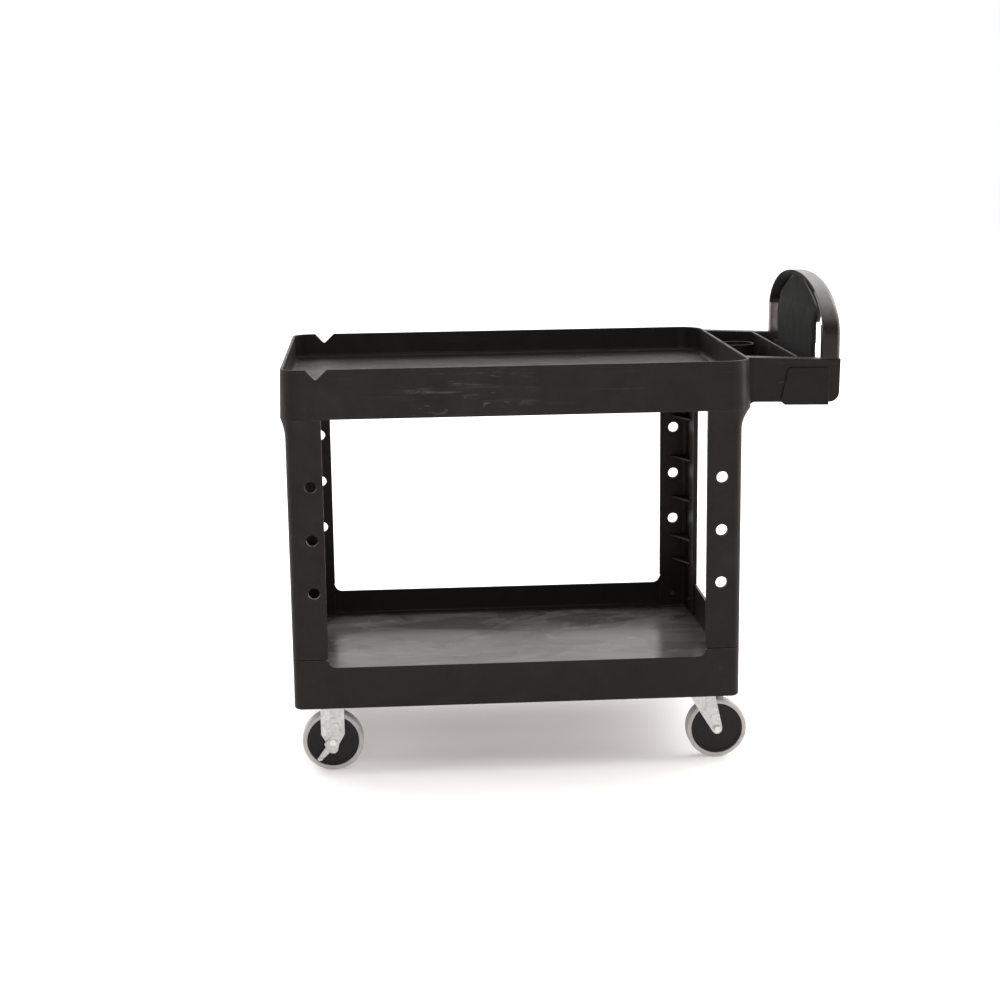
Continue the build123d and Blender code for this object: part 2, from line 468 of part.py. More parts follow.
def wheel(prefix, x, y):
    z = WHEEL_R
    body = cyl_y(x, y - TYRE_W / 2, y + TYRE_W / 2, z, WHEEL_R) - cyl_y(x, y - TYRE_W, y + TYRE_W, z, HUB_R)
    body = fillet([e for e in body.edges() if abs(e.length - 2 * math.pi * WHEEL_R) < 0.5], 5.0)
    body = fillet([e for e in body.edges() if abs(e.length - 2 * math.pi * HUB_R) < 0.5], 1.0)
    put(f"tyre_{prefix}", body)
    hub = cyl_y(x, y - HUB_W / 2, y + HUB_W / 2, z, HUB_R - 0.05)
    for s in (-1, 1):
        f = s * HUB_W / 2
        # shallow dish between the raised centre boss and the rim of the disc
        ring_ = cyl_y(x, min(y + f, y + f - s * 2.0), max(y + f, y + f - s * 2.0), z, HUB_R - 5) - cyl_y(x, min(y + f, y + f - s * 2.0), max(y + f, y + f - s * 2.0), z, 15.0)
        hub = hub - ring_
    hub = hub - cyl_y(x, y - HUB_W, y + HUB_W, z, BUSH_R)
    hub = chamfer([e for e in hub.edges() if abs(e.length - 2 * math.pi * (HUB_R - 0.05)) < 0.5], 0.8)
    put(f"wheel_hub_{prefix}", hub)
    put(f"bearing_bush_{prefix}", cyl_y(x, y - HUB_W / 2, y + HUB_W / 2, z, BUSH_R) - cyl_y(x, y - HUB_W, y + HUB_W, z, SLEEVE_R + RUN))


def axle(prefix, x, y, s, stack):
    """Sleeve, bolt with its head on the s side and lock nut. stack is the thickness under the head."""
    z = WHEEL_R
    o = FORK_IN + FORK_T
    put(f"axle_sleeve_{prefix}", cyl_y(x, y - FORK_IN, y + FORK_IN, z, SLEEVE_R) - cyl_y(x, y - FORK_IN - 1, y + FORK_IN + 1, z, AXLE_R))
    h0 = o + stack
    a, b = sorted((y + s * h0, y + s * (h0 + 5.3)))
    head = hex_y(x, a, b, z, 13.0)
    c, d = sorted((y + s * h0, y - s * (o + 8.5)))
    put(f"axle_bolt_{prefix}", head + cyl_y(x, c, d, z, AXLE_R))
    a, b = sorted((y - s * o, y - s * (o + 6.8)))
    put(f"axle_nut_{prefix}", hex_y(x, a, b, z, 13.0) - cyl_y(x, a - 1, b + 1, z, AXLE_R))


def plate_blank(x, y, z0, z1):
    p = prism(Pos(x, y) * RectangleRounded(PLATE_X, PLATE_Y, 8.0), z0, z1)
    for dx in (-BOLT_DX / 2, BOLT_DX / 2):
        for dy in (-BOLT_DY / 2, BOLT_DY / 2):
            p = p - cyl_z(x + dx, y + dy, z0 - 1, z1 + 1, 4.0)
    return p


def cheek(x_axle, pts, r_end):
    """Fork cheek outline in the XZ plane: polygon joined to a round end about the axle."""
    f = make_face(Polyline(*[(p[0], 0, p[1]) for p in pts], close=True))
    return f


caster_screws = []
ZP1 = PAD_Z + LIFT
ZP0 = ZP1 - PLATE_T
O = FORK_IN + FORK_T
for end in ("front", "rear"):
    s = -1 if end == "front" else 1
    y = s * CAST_Y

    # fixed caster at the far end, with a wheel lock
    x = RIGID_X
    pre = f"left_{end}"
    fork = plate_blank(x, y, ZP0, ZP1)
    ck = make_face(Polyline((x - 24.5, 0, ZP0 + 1), (x + 24.5, 0, ZP0 + 1), (x + 24.5, 0, 79.5), (x + 12.2, 0, 57.5), (x + 9.2, 0, 43.5), (x + 4.5, 0, 38.0), (x - 4.5, 0, 38.0), (x - 9.2, 0, 43.5), (x - 12.2, 0, 57.5), (x - 24.5, 0, 79.5), close=True))
    for t in (-1, 1):
        a, b = sorted((y + t * FORK_IN, y + t * O))
        c = slab_y(ck, a, b)
        c = fillet([e for e in c.edges().filter_by(Axis.Y) if e.center().Z < ZP0], 3.0)
        fork = fork + c
    fork = fillet([e for e in fork.edges().filter_by(Axis.X) if abs(e.center().Z - ZP0) < 0.05 and abs(abs(e.center().Y - y) - O) < 0.05], 3.0)
    fork = fork - cyl_y(x, y - 40, y + 40, WHEEL_R, AXLE_R)
    # stop tab for the lock lever, pressed out of the outer cheek
    a, b = sorted((y + s * (O - 1), y + s * (O + 2.2)))
    tab = fillet(box(x - 5.8, x + 5.8, a, b, 106.2, 115.0).edges().filter_by(Axis.Y), 2.0)
    fork = fork + tab
    put(f"rigid_fork_{end}", fork)
    wheel(pre, x, y)
    axle(pre, x, y, s, LEVER_T + 0.5)
    # lock lever that turns on the axle bolt
    lv = make_face(Polyline((x - 1.5, 0, 103.0), (x + 12.3, 0, 103.0), (x + 13.5, 0, 82.0), (x + 13.0, 0, 62.0), (x + 10.0, 0, 52.5), (x - 5.0, 0, 43.5),
                            (x - 24.5, 0, 24.6), (x - 32.0, 0, 23.4), (x - 33.5, 0, 27.5), (x - 15.5, 0, 53.0), (x - 19.0, 0, 59.7), (x - 4.5, 0, 74.6), close=True))
    a, b = sorted((y + s * (O + 0.25), y + s * (O + 0.25 + LEVER_T)))
    lever = slab_y(lv, a, b)
    lever = fillet([e for e in lever.edges().filter_by(Axis.Y)], 1.6)
    # rib along the pedal and folded toe
    yo = y + s * (O + 0.25 + LEVER_T)
    a2, b2 = sorted((yo - s * 0.5, yo + s * 5.0))
    toe = make_face(Polyline((x - 24.5, 0, 25.4), (x - 31.2, 0, 24.6), (x - 31.8, 0, 27.6), (x - 29.6, 0, 30.6), (x - 21.6, 0, 30.2), close=True))
    lever = lever + slab_y(toe, a2, b2)
    lever = lever - cyl_y(x, y - 60, y + 60, WHEEL_R, AXLE_R + RUN)
    put(f"brake_lever_{end}", lever)
    for dx in (-BOLT_DX / 2, BOLT_DX / 2):
        for dy in (-BOLT_DY / 2, BOLT_DY / 2):
            caster_screws.append(hex_z(x + dx, y + dy, ZP0 - 5.3, ZP0, 13.0) + cyl_z(x + dx, y + dy, ZP0, 168.0 + LIFT, 4.0))

    # swivel caster at the handle end, trailing towards the handle
    x = KING_X
    xa = KING_X + TRAIL
    pre = f"right_{end}"
    plate = plate_blank(x, y, ZP0, ZP1) - cyl_z(x, y, ZP0 - 1, ZP1 + 1, 5.0)
    cupring = cyl_z(x, y, ZP0 - 6.2, ZP0 + 0.5, 31.0) - cyl_z(x, y, ZP0 - 7, ZP0 + 1, 27.0)
    cupring = fillet([e for e in cupring.edges() if abs(e.center().Z - (ZP0 - 6.2)) < 0.05 and e.length > 190], 1.5)
    plate = plate + (cupring & cyl_z(x, y, ZP0 - 7, ZP0 + 0.5, 31.0))
    put(f"swivel_plate_{end}", plate)
    zc1 = ZP0 - 7.0                    # top of the fork crown
    zc0 = zc1 - FORK_T
    balls = [Pos(x + 21.0 * math.cos(2 * math.pi * k / 14), y + 21.0 * math.sin(2 * math.pi * k / 14), ZP0 - 3.5) * Sphere(3.0) for k in range(14)]
    put(f"swivel_balls_{end}", Compound(children=balls))
    put(f"kingpin_{end}", cyl_z(x, y, zc0 - 3.7, ZP1, 5.0) + cyl_z(x, y, zc0 - 3.7, zc0 - 0.25, 9.0) + cyl_z(x, y, zc1 + 0.25, ZP0, 9.0))
    crown = box(x - 24.0, x + 31.0, y - O, y + O, zc0, zc1)
    ck = make_face(Polyline((x - 24.0, 0, zc0 + 1), (x + 31.0, 0, zc0 + 1), (x + 31.0, 0, 138), (xa + 11.0, 0, 66.0), (xa + 9.6, 0, 58.0), (xa + 5.0, 0, 53.6), (xa, 0, 52.3),
                            (xa - 5.0, 0, 53.6), (xa - 9.2, 0, 57.6), (x - 12.2, 0, 119.5), (x - 18.8, 0, 131.5), (x - 24.0, 0, 142.0), close=True))
    swf = crown
    for t in (-1, 1):
        a, b = sorted((y + t * FORK_IN, y + t * O))
        c = slab_y(ck, a, b)
        c = fillet([e for e in c.edges().filter_by(Axis.Y) if e.center().Z < 100], 2.0)
        # pressed stiffening ridge
        a2, b2 = sorted((y + t * (O - 0.5), y + t * (O + 1.8)))
        ridge = make_face(Polyline((x + 10.8, 0, 100.0), (x + 17.6, 0, 100.0), (x + 17.6, 0, 144.0), (x + 10.8, 0, 144.0), close=True))
        rg = slab_y(ridge, a2, b2)
        rg = fillet([e for e in rg.edges() if abs(e.center().Y - (y + t * (O + 1.8))) < 0.05], 1.2)
        swf = swf + c + rg
    swf = fillet([e for e in swf.edges().filter_by(Axis.X) if abs(e.center().Z - zc1) < 0.05 and abs(abs(e.center().Y - y) - O) < 0.05], 2.5)
    swf = swf - cyl_z(x, y, zc0 - 1, zc1 + 1, 5.0 + RUN) - cyl_y(xa, y - 40, y + 40, WHEEL_R, AXLE_R)
    put(f"swivel_fork_{end}", swf)
    wheel(pre, xa, y)
    axle(pre, xa, y, s, 0.0)
    for dx in (-BOLT_DX / 2, BOLT_DX / 2):
        for dy in (-BOLT_DY / 2, BOLT_DY / 2):
            caster_screws.append(hex_z(x + dx, y + dy, ZP0 - 5.3, ZP0, 13.0) + cyl_z(x + dx, y + dy, ZP0, 168.0 + LIFT, 4.0))
put("caster_screws", Compound(children=caster_screws))

print(len(NODES), "nodes")
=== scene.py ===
import bpy
import bmesh
import math
from mathutils import Matrix, Vector

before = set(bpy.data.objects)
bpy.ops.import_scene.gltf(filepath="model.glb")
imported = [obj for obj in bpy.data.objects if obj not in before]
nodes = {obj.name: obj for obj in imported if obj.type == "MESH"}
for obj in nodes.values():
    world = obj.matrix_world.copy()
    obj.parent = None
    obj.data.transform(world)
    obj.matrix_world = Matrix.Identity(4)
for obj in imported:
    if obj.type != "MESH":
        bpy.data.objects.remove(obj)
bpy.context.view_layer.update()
scene = bpy.context.scene
scene.view_settings.view_transform = "Standard"
scene.view_settings.look = "None"


# ------------------------------------------------------------------ node helpers
class Mat:
    """A small builder for node materials. Everything is laid out in object space, in metres."""

    def __init__(self, name):
        self.m = bpy.data.materials.new(name)
        self.m.use_nodes = True
        self.t = self.m.node_tree
        self.t.nodes.clear()
        self.out = self.t.nodes.new("ShaderNodeOutputMaterial")
        self.b = self.t.nodes.new("ShaderNodeBsdfPrincipled")
        self.t.links.new(self.b.outputs[0], self.out.inputs[0])
        self.co = self.t.nodes.new("ShaderNodeTexCoord").outputs["Object"]

    def node(self, kind, **kw):
        n = self.t.nodes.new(kind)
        for k, v in kw.items():
            setattr(n, k, v)
        return n

    def link(self, a, b):
        self.t.links.new(a, b)
        return b

    def mapping(self, scale=(1, 1, 1), loc=(0, 0, 0), rot=(0, 0, 0)):
        n = self.node("ShaderNodeMapping")
        n.inputs["Scale"].default_value = scale
        n.inputs["Location"].default_value = loc
        n.inputs["Rotation"].default_value = rot
        self.link(self.co, n.inputs["Vector"])
        return n.outputs[0]

    def noise(self, scale, detail=3.0, rough=0.5, dist=0.0, vec=None):
        n = self.node("ShaderNodeTexNoise")
        n.inputs["Scale"].default_value = scale
        n.inputs["Detail"].default_value = detail
        n.inputs["Roughness"].default_value = rough
        n.inputs["Distortion"].default_value = dist
        self.link(vec or self.co, n.inputs["Vector"])
        return n.outputs["Fac"]

    def ramp(self, fac, stops, interp="LINEAR"):
        n = self.node("ShaderNodeValToRGB")
        n.color_ramp.interpolation = interp
        e = n.color_ramp.elements
        while len(e) > 1:
            e.remove(e[-1])
        e[0].position, e[0].color = stops[0][0], self.rgba(stops[0][1])
        for p, c in stops[1:]:
            x = e.new(p)
            x.color = self.rgba(c)
        self.link(fac, n.inputs[0])
        return n.outputs[0]

    @staticmethod
    def rgba(c):
        if isinstance(c, (int, float)):
            return (c, c, c, 1)
        return tuple(c) + ((1,) if len(c) == 3 else ())

    def math(self, op, a, b=None, c=None, clamp=False):
        n = self.node("ShaderNodeMath", operation=op, use_clamp=clamp)
        for i, v in enumerate((a, b, c)):
            if v is None:
                continue
            if isinstance(v, (int, float)):
                n.inputs[i].default_value = v
            else:
                self.link(v, n.inputs[i])
        return n.outputs[0]

    def mix(self, fac, a, b, blend="MIX"):
        n = self.node("ShaderNodeMix", data_type="RGBA", blend_type=blend)
        ins = [s for s in n.inputs if s.type == "RGBA"]
        f = n.inputs[0]
        if isinstance(fac, (int, float)):
            f.default_value = fac
        else:
            self.link(fac, f)
        for s, v in zip(ins, (a, b)):
            if isinstance(v, (int, float, tuple, list)):
                s.default_value = self.rgba(v)
            else:
                self.link(v, s)
        return [o for o in n.outputs if o.type == "RGBA"][0]

    def remap(self, v, a, b, c, d):
        n = self.node("ShaderNodeMapRange")
        for k, x in zip(("From Min", "From Max", "To Min", "To Max"), (a, b, c, d)):
            n.inputs[k].default_value = x
        self.link(v, n.inputs["Value"])
        return n.outputs[0]

    def sep(self):
        n = self.node("ShaderNodeSeparateXYZ")
        self.link(self.co, n.inputs[0])
        return n.outputs

    def window(self, v, lo, hi, soft):
        """1 where v lies between lo and hi, falling to 0 over soft."""
        up = self.remap(v, lo - soft, lo + soft, 0.0, 1.0)
        dn = self.remap(v, hi - soft, hi + soft, 1.0, 0.0)
        return self.math("MULTIPLY", up, dn)

    def edge(self, radius, lo=0.02, hi=0.35, samples=4):
        """Mask of convex and concave edges, from the rounded normal against the true one."""
        bev = self.node("ShaderNodeBevel", samples=samples)
        bev.inputs["Radius"].default_value = radius
        geo = self.node("ShaderNodeNewGeometry")
        dot = self.node("ShaderNodeVectorMath", operation="DOT_PRODUCT")
        self.link(bev.outputs[0], dot.inputs[0])
        self.link(geo.outputs["Normal"], dot.inputs[1])
        d = self.math("SUBTRACT", 1.0, dot.outputs["Value"])
        return self.remap(d, lo, hi, 0.0, 1.0)

    def bump(self, height, distance, strength=1.0, prev=None):
        n = self.node("ShaderNodeBump")
        n.inputs["Distance"].default_value = distance
        n.inputs["Strength"].default_value = strength
        self.link(height, n.inputs["Height"])
        if prev is not None:
            self.link(prev, n.inputs["Normal"])
        return n.outputs[0]

    def finish(self, color=None, rough=None, normal=None, **const):
        for k, v in const.items():
            self.b.inputs[k.replace("_", " ")].default_value = v
        if color is not None:
            if isinstance(color, (tuple, list)):
                self.b.inputs["Base Color"].default_value = self.rgba(color)
            else:
                self.link(color, self.b.inputs["Base Color"])
        if rough is not None:
            if isinstance(rough, (int, float)):
                self.b.inputs["Roughness"].default_value = rough
            else:
                self.link(rough, self.b.inputs["Roughness"])
        if normal is not None:
            self.link(normal, self.b.inputs["Normal"])
        return self.m


def plastic(name, base=(0.0122, 0.0108, 0.0102), light=(0.0164, 0.0146, 0.0139), r_lo=0.36, r_hi=0.52,
            edge_wear_and_highlight=0.55, seed=0.0, scuff=None, polish=None, matt=None, level=0.11, painted_shade=None, wear_and_painted_light=None, **const):
    """Structural-foam plastic: fine leather-like grain, slow swirl in the colour, rubbed edges lightened partly as
    painted highlight, hairline scratches, optional pale patches that are partly painted light and optional painted
    shade.
    """
    m = Mat(name)
    off = m.mapping(loc=(seed, seed * 0.7, seed * 1.3))
    swirl = m.noise(5.5, 6.0, 0.6, 2.2, vec=off)
    cloud = m.noise(22.0, 4.0, 0.55, 0.6, vec=off)
    grain = m.noise(620.0, 2.0, 0.5, 0.0, vec=off)
    pores = m.noise(1700.0, 1.0, 0.5, 0.0, vec=off)
    col = m.mix(m.remap(swirl, 0.35, 0.70, 0.0, 1.0), base, light)
    col = m.mix(m.remap(cloud, 0.45, 0.75, 0.0, 0.35), col, (0.0105, 0.0094, 0.0090))
    # hairline scratches, long in X and short in Z
    hair = m.noise(9.0, 8.0, 0.75, 0.4, vec=m.mapping(scale=(1.0, 4.0, 55.0), loc=(seed, 0, 3 + seed), rot=(0.04, 0.03, 0)))
    hair = m.remap(hair, 0.665, 0.70, 0.0, 1.0)
    spots = m.remap(m.noise(3.0, 2.0, 0.5, 0.0, vec=m.mapping(loc=(seed + 9, 2, 1))), 0.52, 0.66, 0.0, 1.0)
    hair = m.math("MULTIPLY", hair, spots)
    col = m.mix(m.math("MULTIPLY", hair, 0.5), col, (0.05, 0.047, 0.045))
    # Edges and inside corners lightened: partly rubbed wear, partly painted highlight along the rims.
    e = m.edge(0.0032)
    chew = m.remap(m.noise(48.0, 5.0, 0.65, 0.3, vec=off), 0.36, 0.62, 0.15, 1.0)
    e = m.math("MULTIPLY", e, chew, clamp=True)
    col = m.mix(m.math("MULTIPLY", e, edge_wear_and_highlight), col, (0.085, 0.081, 0.078))
    rough = m.math("ADD", m.remap(cloud, 0.3, 0.7, r_lo, r_hi), m.remap(grain, 0.3, 0.7, -0.03, 0.03))
    if scuff:
        k = scuff(m)
        col = m.mix(k, col, (0.062, 0.059, 0.057))
        rough = m.math("SUBTRACT", rough, m.math("MULTIPLY", k, 0.08))
    if polish:
        k = polish(m)
        rough = m.math("SUBTRACT", rough, k)
    if matt:
        rough = m.math("ADD", rough, matt(m), clamp=True)
    rough = m.math("MAXIMUM", rough, 0.14)
    # Pale patches: partly dust and hand rubbing, partly painted light.
    if wear_and_painted_light:
        col = m.mix(wear_and_painted_light(m), col, (0.240, 0.222, 0.214))
    # Darker colour on the masked faces: painted shade.
    if painted_shade:
        col = m.mix(painted_shade(m), col, (0.0070, 0.0062, 0.0060))
    nrm = m.bump(grain, 0.00022, 0.55)
    nrm = m.bump(pores, 0.00008, 0.35, nrm)
    return m.finish(col, rough, nrm, IOR=1.46, Specular_IOR_Level=level, **const)


# ------------------------------------------------------------------ materials
def shelf_scuff(m):
    """Rubbed streaks and blotches on the side walls of the top shelf."""
    s = m.sep()
    side = m.window(s["Y"], -0.340, -0.3235, 0.0006)
    zone = m.math("MULTIPLY", m.window(s["X"], -0.33, -0.08, 0.05), m.window(s["Z"], 0.752, 0.842, 0.006))
    streak = m.remap(m.noise(7.0, 6.0, 0.7, 0.8, vec=m.mapping(scale=(1.4, 1.0, 16.0), loc=(2.2, 0, 7))), 0.54, 0.66, 0.0, 0.8)
    blot = m.remap(m.noise(34.0, 3.0, 0.55, 0.7, vec=m.mapping(scale=(1.0, 1.0, 2.4), loc=(0.7, 0, 1.1))), 0.60, 0.68, 0.0, 0.65)
    low = m.window(s["Z"], 0.752, 0.800, 0.012)
    k = m.math("MAXIMUM", m.math("MULTIPLY", streak, m.window(s["Z"], 0.790, 0.842, 0.01)), m.math("MULTIPLY", blot, low))
    k = m.math("MULTIPLY", k, m.math("MULTIPLY", side, zone))
    # faint long rubs everywhere else on both side walls
    wide = m.remap(m.noise(4.0, 7.0, 0.7, 0.5, vec=m.mapping(scale=(1.0, 1.0, 24.0), loc=(5, 1, 2))), 0.60, 0.70, 0.0, 0.22)
    return m.math("MAXIMUM", k, wide, clamp=True)


def deck_polish(m):
    """Floor of a tray: worn in overlapping patches, so its gloss is mottled."""
    s = m.sep()
    patch = m.noise(7.0, 3.0, 0.55, 1.4, vec=m.mapping(scale=(1.0, 1.7, 1.0), loc=(1.3, 0.4, 0)))
    return m.remap(patch, 0.42, 0.56, -0.06, 0.04)


def low_deck_polish(m):
    """Floor of the bottom tray: polished by loads dragged over it, in soft-edged overlapping patches."""
    s = m.sep()
    inside = m.math("MULTIPLY", m.math("MULTIPLY", m.window(s["Z"], 0.165, 0.1765, 0.0006), m.window(s["X"], -0.553, 0.351, 0.003)), m.window(s["Y"], -0.316, 0.316, 0.004))
    p1 = m.noise(3.6, 1.2, 0.5, 1.5, vec=m.mapping(scale=(1.0, 2.0, 1.0), loc=(1.3, 0.4, 0)))
    p2 = m.noise(9.0, 1.5, 0.5, 1.0, vec=m.mapping(scale=(1.0, 2.0, 1.0), loc=(4.3, 2.4, 0)))
    k = m.math("ADD", m.remap(p1, 0.46, 0.49, 0.158, 0.188), m.remap(p2, 0.52, 0.55, 0.0, 0.03))
    return m.math("MULTIPLY", k, inside)


def low_deck_dust_and_light(m):
    """Dust and rubbed plastic on the floor of the bottom tray, in overlapping patches with clear edges, over an even
    pale lift of the whole tray floor; partly painted light that brightens the deck shaded by the top shelf.
    """
    s = m.sep()
    inside = m.math("MULTIPLY", m.math("MULTIPLY", m.window(s["Z"], 0.165, 0.1765, 0.0006), m.window(s["X"], -0.553, 0.351, 0.003)), m.window(s["Y"], -0.310, 0.310, 0.010))
    v1 = m.mapping(scale=(1.0, 1.7, 1.0), loc=(1.3, 0.4, 0))
    v2 = m.mapping(scale=(1.0, 1.9, 1.0), loc=(6.1, 3.4, 0))
    a = m.remap(m.noise(2.3, 2.0, 0.5, 1.4, vec=v1), 0.47, 0.53, 0.02, 0.16)
    b = m.remap(m.noise(4.2, 2.0, 0.5, 1.2, vec=v2), 0.485, 0.535, 0.01, 0.11)
    c = m.remap(m.noise(9.0, 2.0, 0.5, 1.0, vec=v2), 0.60, 0.66, 0.0, 0.12)
    k = m.math("ADD", m.math("ADD", a, b), m.math("ADD", c, 0.12))
    return m.math("MULTIPLY", k, inside, clamp=True)


def panel_matt_and_shade(m):
    """The panel inside the arch has a coarse matt texture on its face; the same mask of its -X-facing face darkens its
    colour as painted shade.
    """
    s = m.sep()
    geo = m.node("ShaderNodeNewGeometry")
    n = m.node("ShaderNodeSeparateXYZ")
    m.link(geo.outputs["Normal"], n.inputs[0])
    face = m.remap(n.outputs["X"], -0.35, -0.55, 0.0, 1.0)
    zone = m.math("MULTIPLY", m.window(s["Y"], -0.186, 0.186, 0.001), m.window(s["X"], 0.5325, 0.5412, 0.0006))
    return m.math("MULTIPLY", face, zone)


def crown_rub_and_light(m):
    """The bow of the handle is rubbed grey by hands, and so is the grip on the rear limb; both are partly painted
    light, the bow paler on its -Y half and only the rear grip pale.
    """
    s = m.sep()
    grain = m.remap(m.noise(420.0, 3.0, 0.7, 0.0), 0.35, 0.65, 0.65, 1.35)
    cloud = m.remap(m.noise(14.0, 3.0, 0.6, 0.6), 0.35, 0.65, 0.75, 1.15)
    bow = m.math("MULTIPLY", m.window(s["Z"], 0.930, 1.100, 0.022), m.remap(s["Y"], 0.03, -0.03, 0.03, 0.24))
    grip = m.math("MULTIPLY", m.window(s["Y"], 0.186, 0.300, 0.002), m.window(s["Z"], 0.846, 0.912, 0.008))
    grip = m.math("MULTIPLY", grip, 0.62)
    k = m.math("MAXIMUM", bow, grip)
    return m.math("MULTIPLY", m.math("MULTIPLY", k, grain), cloud, clamp=True)


MAT = {}
MAT["shelf_top"] = plastic("plastic_top_shelf", seed=0.0, scuff=shelf_scuff, polish=deck_polish)
MAT["shelf_low"] = plastic("plastic_bottom_shelf", seed=3.1, r_lo=0.33, r_hi=0.39, polish=low_deck_polish, wear_and_painted_light=low_deck_dust_and_light, Specular_Tint=(1.0, 0.90, 0.87, 1.0))
MAT["post"] = plastic("plastic_posts", seed=6.3)
MAT["handle"] = plastic("plastic_handle", seed=9.7, r_lo=0.26, r_hi=0.38, edge_wear_and_highlight=0.35, matt=lambda m: m.math("MULTIPLY", panel_matt_and_shade(m), 0.6), painted_shade=panel_matt_and_shade, wear_and_painted_light=crown_rub_and_light, level=0.24)
MAT["holster"] = plastic("plastic_holster", seed=12.2, base=(0.0100, 0.0089, 0.0085), light=(0.0132, 0.0118, 0.0113))


def hub_material():
    m = Mat("plastic_hub")
    c = m.noise(40.0, 4.0, 0.6, 0.5)
    g = m.noise(1200.0, 2.0)
    col = m.mix(c, (0.0082, 0.0073, 0.0069), (0.0118, 0.0106, 0.0100))
    dust = m.remap(m.noise(160.0, 5.0, 0.7), 0.60, 0.78, 0.0, 0.35)
    col = m.mix(dust, col, (0.06, 0.056, 0.052))
    # Edges and inside corners lighter: partly wear, partly painted highlight along the rims.
    e = m.math("MULTIPLY", m.edge(0.0014), 0.5)
    col = m.mix(e, col, (0.07, 0.067, 0.064))
    return m.finish(col, m.remap(c, 0.3, 0.7, 0.34, 0.48), m.bump(g, 0.0001, 0.5), IOR=1.46, Specular_IOR_Level=0.2)


def tyre_material():
    m = Mat("tyre_grey")
    c = m.noise(26.0, 5.0, 0.62, 0.8)
    col = m.mix(m.remap(c, 0.3, 0.7, 0.0, 1.0), (0.39, 0.370, 0.360), (0.48, 0.462, 0.450))
    speck = m.remap(m.noise(420.0, 4.0, 0.7), 0.60, 0.74, 0.0, 0.5)
    col = m.mix(speck, col, (0.17, 0.16, 0.15))
    dirt = m.remap(m.noise(14.0, 6.0, 0.7, 1.2, vec=m.mapping(loc=(4, 1, 2))), 0.54, 0.72, 0.0, 0.45)
    col = m.mix(dirt, col, (0.155, 0.145, 0.135))
    g = m.noise(900.0, 3.0)
    return m.finish(col, m.remap(c, 0.3, 0.7, 0.52, 0.68), m.bump(g, 0.00015, 0.5), IOR=1.45)


def zinc_material():
    m = Mat("zinc_plated_steel")
    cells = m.node("ShaderNodeTexVoronoi", feature="SMOOTH_F1")
    cells.inputs["Scale"].default_value = 210.0
    m.link(m.co, cells.inputs["Vector"])
    c = m.noise(36.0, 4.0, 0.6, 0.6)
    col = m.mix(m.remap(cells.outputs["Distance"], 0.0, 0.7, 0.0, 1.0), (0.56, 0.56, 0.555), (0.40, 0.40, 0.395))
    col = m.mix(m.remap(c, 0.42, 0.72, 0.0, 0.5), col, (0.36, 0.35, 0.335))
    streak = m.noise(60.0, 5.0, 0.7, 0.2, vec=m.mapping(scale=(6.0, 1.0, 0.6)))
    rough = m.math("ADD", m.remap(c, 0.3, 0.7, 0.26, 0.40), m.remap(streak, 0.35, 0.7, -0.03, 0.07))
    return m.finish(col, rough, m.bump(streak, 0.00012, 0.4), Metallic=0.88)


def fastener_material():
    m = Mat("zinc_fasteners")
    c = m.noise(300.0, 4.0, 0.6)
    col = m.mix(m.remap(c, 0.35, 0.7, 0.0, 1.0), (0.66, 0.655, 0.63), (0.50, 0.49, 0.47))
    return m.finish(col, m.remap(c, 0.3, 0.7, 0.25, 0.42), m.bump(c, 0.00006, 0.5), Metallic=1.0)


def nylon_material():
    m = Mat("nylon_bush")
    c = m.noise(120.0, 4.0, 0.6)
    col = m.mix(c, (0.60, 0.58, 0.52), (0.70, 0.68, 0.63))
    return m.finish(col, m.remap(c, 0.3, 0.7, 0.35, 0.5), m.bump(c, 0.00005, 0.4), IOR=1.53)


def black_screw_material():
    m = Mat("blackened_screws")
    c = m.noise(400.0, 3.0, 0.6)
    col = m.mix(c, (0.012, 0.011, 0.011), (0.022, 0.021, 0.020))
    return m.finish(col, m.remap(c, 0.3, 0.7, 0.38, 0.52), m.bump(c, 0.00005, 0.4), IOR=1.5)


MAT["black_screw"] = black_screw_material()
MAT["hub"] = hub_material()
MAT["tyre"] = tyre_material()
MAT["zinc"] = zinc_material()
MAT["fastener"] = fastener_material()
MAT["bush"] = nylon_material()


def material_for(n):
    if n == "top_shelf":
        return "shelf_top"
    if n == "bottom_shelf":
        return "shelf_low"
    if n == "handle_arch":
        return "handle"
    if n.startswith("holster"):
        return "holster"
    if n.startswith("tyre"):
        return "tyre"
    if n.startswith("wheel_hub"):
        return "hub"
    if n.startswith("bearing_bush"):
        return "bush"
    if n.startswith(("rigid_fork", "swivel_fork", "swivel_plate", "brake_lever")):
        return "zinc"
    if n.startswith("leg_screws"):
        return "black_screw"
    if n.startswith(("leg_front", "leg_rear")):
        return "post"
    return "fastener"


for name, obj in nodes.items():
    for s in obj.material_slots:
        s.material = MAT[material_for(name)]

# ------------------------------------------------------------------ floor, light, camera
floor_mesh = bpy.data.meshes.new("studio_floor")
bm = bmesh.new()
N = 24
for i in range(N + 1):
    for j in range(N + 1):
        bm.verts.new(((i / N - 0.5) * 36, (j / N - 0.5) * 36, -0.0006))
bm.verts.ensure_lookup_table()
for i in range(N):
    for j in range(N):
        a = i * (N + 1) + j
        bm.faces.new([bm.verts[k] for k in (a, a + N + 1, a + N + 2, a + 1)])
bm.to_mesh(floor_mesh)
bm.free()
floor = bpy.data.objects.new("studio_floor", floor_mesh)
scene.collection.objects.link(floor)
fm = Mat("studio_floor")
fc = fm.noise(1.2, 3.0, 0.5)
fm.finish(fm.mix(fc, (0.80, 0.795, 0.79), (0.82, 0.817, 0.814)), 0.6, None, Emission_Color=(1.0, 0.91, 0.87, 1), Emission_Strength=0.24)
floor_mesh.materials.append(fm.m)

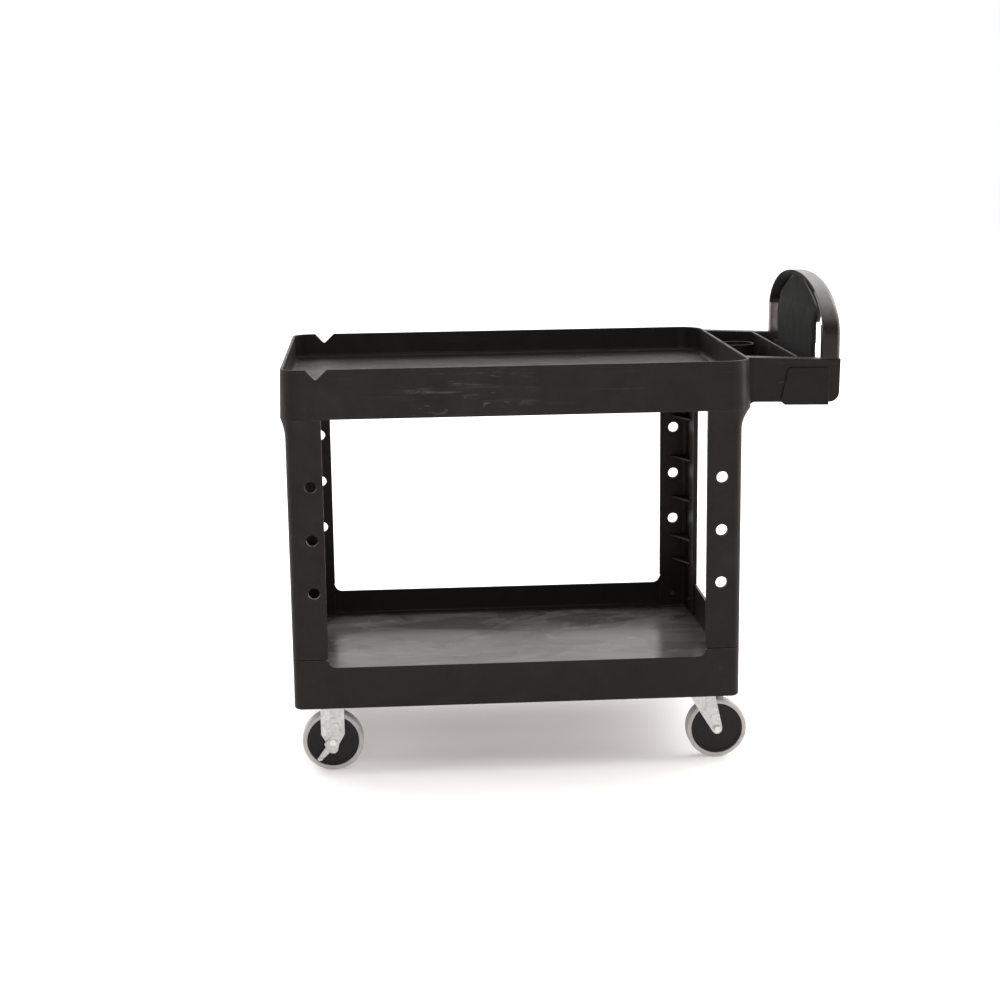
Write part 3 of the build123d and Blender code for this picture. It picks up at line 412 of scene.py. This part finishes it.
world = bpy.data.worlds.new("studio")
scene.world = world
world.use_nodes = True
wt = world.node_tree
wt.nodes.clear()
wo = wt.nodes.new("ShaderNodeOutputWorld")
tc = wt.nodes.new("ShaderNodeTexCoord")
sp = wt.nodes.new("ShaderNodeSeparateXYZ")
wt.links.new(tc.outputs["Generated"], sp.inputs[0])
# white sweep behind the cart, darker studio in front of it and to its left
mr = wt.nodes.new("ShaderNodeMapRange")
mr.interpolation_type = "SMOOTHSTEP"
mr.inputs["From Min"].default_value = -0.30
mr.inputs["From Max"].default_value = 0.55
mr.inputs["To Min"].default_value = 0.045
mr.inputs["To Max"].default_value = 1.6
dirv = wt.nodes.new("ShaderNodeVectorMath")
dirv.operation = "DOT_PRODUCT"
dirv.inputs[1].default_value = (0.34, 0.94, 0.05)
wt.links.new(tc.outputs["Generated"], dirv.inputs[0])
wt.links.new(dirv.outputs["Value"], mr.inputs["Value"])
bg1 = wt.nodes.new("ShaderNodeBackground")
wt.links.new(mr.outputs[0], bg1.inputs["Strength"])
bg1.inputs["Color"].default_value = (1, 0.995, 0.99, 1)
bg2 = wt.nodes.new("ShaderNodeBackground")
bg2.inputs["Color"].default_value = (1, 1, 1, 1)
bg2.inputs["Strength"].default_value = 1.0
lp = wt.nodes.new("ShaderNodeLightPath")
mx = wt.nodes.new("ShaderNodeMixShader")
wt.links.new(lp.outputs["Is Camera Ray"], mx.inputs[0])
wt.links.new(bg1.outputs[0], mx.inputs[1])
wt.links.new(bg2.outputs[0], mx.inputs[2])
wt.links.new(mx.outputs[0], wo.inputs[0])


def softbox(name, loc, target, size, power, color=(1, 1, 1)):
    d = bpy.data.lights.new(name, "AREA")
    d.shape = "RECTANGLE"
    d.size, d.size_y = size
    d.energy = power
    d.color = color
    o = bpy.data.objects.new(name, d)
    scene.collection.objects.link(o)
    o.location = loc
    o.rotation_euler = (Vector(target) - Vector(loc)).to_track_quat("-Z", "Y").to_euler()
    return o


sun = bpy.data.lights.new("studio_ceiling", "SUN")
sun.energy = 3.4
sun.angle = math.radians(100)
sun.color = (1.0, 0.995, 0.985)
sun_ob = bpy.data.objects.new("studio_ceiling", sun)
scene.collection.objects.link(sun_ob)
sun_ob.rotation_euler = (math.radians(-12), math.radians(6), 0)
softbox("softbox_front", (-0.7, -4.6, 2.0), (-0.1, 0.0, 0.5), (2.4, 2.0), 66, (1.0, 0.97, 0.94))
softbox("strip_right", (3.0, -0.2, 0.8), (0.2, 0.0, 0.6), (0.5, 2.0), 30, (1.0, 0.97, 0.95))
softbox("strip_left", (-3.2, 0.2, 0.8), (-0.4, 0.0, 0.6), (0.5, 2.0), 20, (1.0, 0.97, 0.95))
softbox("softbox_right", (2.6, 1.4, 2.2), (0.2, 0.0, 0.5), (1.4, 1.8), 26)
softbox("softbox_left_rear", (-2.6, 2.4, 1.6), (-0.4, 0.0, 0.5), (1.2, 1.6), 12)

cam_data = bpy.data.cameras.new("camera")
cam_data.sensor_width = 36.0
cam_data.sensor_fit = "HORIZONTAL"
cam_data.lens = 66.6385
cam = bpy.data.objects.new("camera", cam_data)
scene.collection.objects.link(cam)
right = (0.997782, -0.065291, -0.012940)
up = (0.025698, 0.198537, 0.979756)
fwd = (0.061400, 0.977916, -0.199775)
cam.matrix_world = Matrix((
    (right[0], up[0], -fwd[0], -0.36366),
    (right[1], up[1], -fwd[1], -3.98301),
    (right[2], up[2], -fwd[2], 1.32373),
    (0, 0, 0, 1),
))
cam_data.clip_end = 100
scene.camera = cam

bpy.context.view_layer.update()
